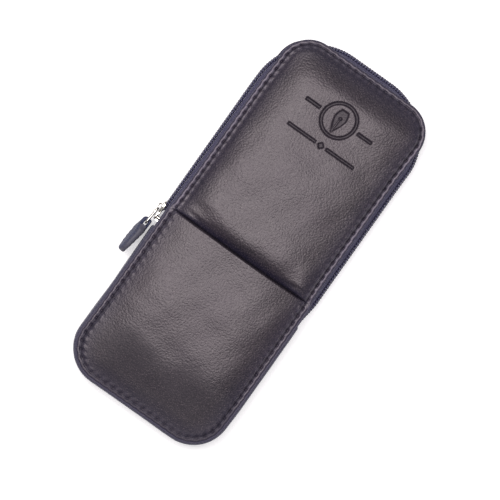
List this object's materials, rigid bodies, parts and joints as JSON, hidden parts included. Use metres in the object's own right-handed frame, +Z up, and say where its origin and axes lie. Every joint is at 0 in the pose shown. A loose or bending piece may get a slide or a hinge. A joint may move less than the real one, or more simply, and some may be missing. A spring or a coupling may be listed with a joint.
{
  "type": "zipped pen case",
  "caption": "Slim padded leather case for fountain pens, half of its front a sewn pocket and half a zipped flap that folds at a crease.",
  "frame": {"origin": "middle of the back's resting face, half way along the case", "axes": "+X across the case to the right, +Y along it towards the zipped end, +Z up through the front"},
  "size_m": [0.0788, 0.1672, 0.025],
  "materials": {
    "outer_leather": "smooth black leather with a faint aubergine cast, satin",
    "gusset_leather": "smooth dark navy leather, satin",
    "tab_leather": "dark navy leather, satin, with a painted edge",
    "foam": "open-cell foam, matte",
    "board": "stiff fibre board, matte",
    "lining": "fine black woven lining, soft",
    "elastic": "ribbed black elastic",
    "zip_tape": "navy woven tape, matte",
    "zip_coil": "dark navy nylon coil",
    "thread": "bluish grey thread",
    "nickel": "bright nickel plate"
  },
  "bodies": {
    "case": {"back_leather": "outer_leather", "back_foam": "foam", "back_board": "board", "back_lining": "lining", "pocket_leather": "outer_leather", "pocket_foam": "foam", "pocket_board": "board", "pocket_lining": "lining", "gusset_leather": "gusset_leather", "gusset_lining": "lining", "pen_divider": "outer_leather", "pen_loop_left": "elastic", "pen_loop_right": "elastic", "zip_tape_back": "zip_tape", "zip_coil_back": "zip_coil", "zip_tape_front_tails": "zip_tape", "zip_coil_front_tails": "zip_coil", "zip_top_stops": "nickel", "zip_bottom_stop": "nickel", "back_stitching": "thread", "pocket_stitching": "thread"},
    "flap": {"flap_leather": "outer_leather", "flap_foam": "foam", "flap_board": "board", "flap_lining": "lining", "zip_tape_flap": "zip_tape", "zip_coil_flap": "zip_coil", "flap_stitching": "thread"},
    "slider": {"slider_body": "nickel", "slider_cap": "nickel"},
    "link": {"pull_link": "nickel"},
    "tab": {"pull_tab": "tab_leather", "pull_tab_stitching": "thread"}
  },
  "joints": [
    {"name": "flap_fold", "type": "hinge", "parent": "case", "child": "flap", "pos_m": [0, -0.008, 0.025], "axis": [1, 0, 0], "range_deg": [0, 165]},
    {"name": "slider_travel", "type": "slide", "parent": "case", "child": "slider", "axis": [0, 1, 0], "range_m": [0, 0.062], "deforming": ["zip_coil_back", "zip_coil_flap", "zip_coil_front_tails"]},
    {"name": "link_swing", "type": "hinge", "parent": "slider", "child": "link", "pos_m": [-0.038, -0.0111, 0.0114], "axis": [0, 0, -1], "range_deg": [0, 95]},
    {"name": "tab_swing", "type": "hinge", "parent": "link", "child": "tab", "pos_m": [-0.03867, -0.01847, 0.0114], "axis": [0, 0, -1], "range_deg": [-6, 75]}
  ]
}
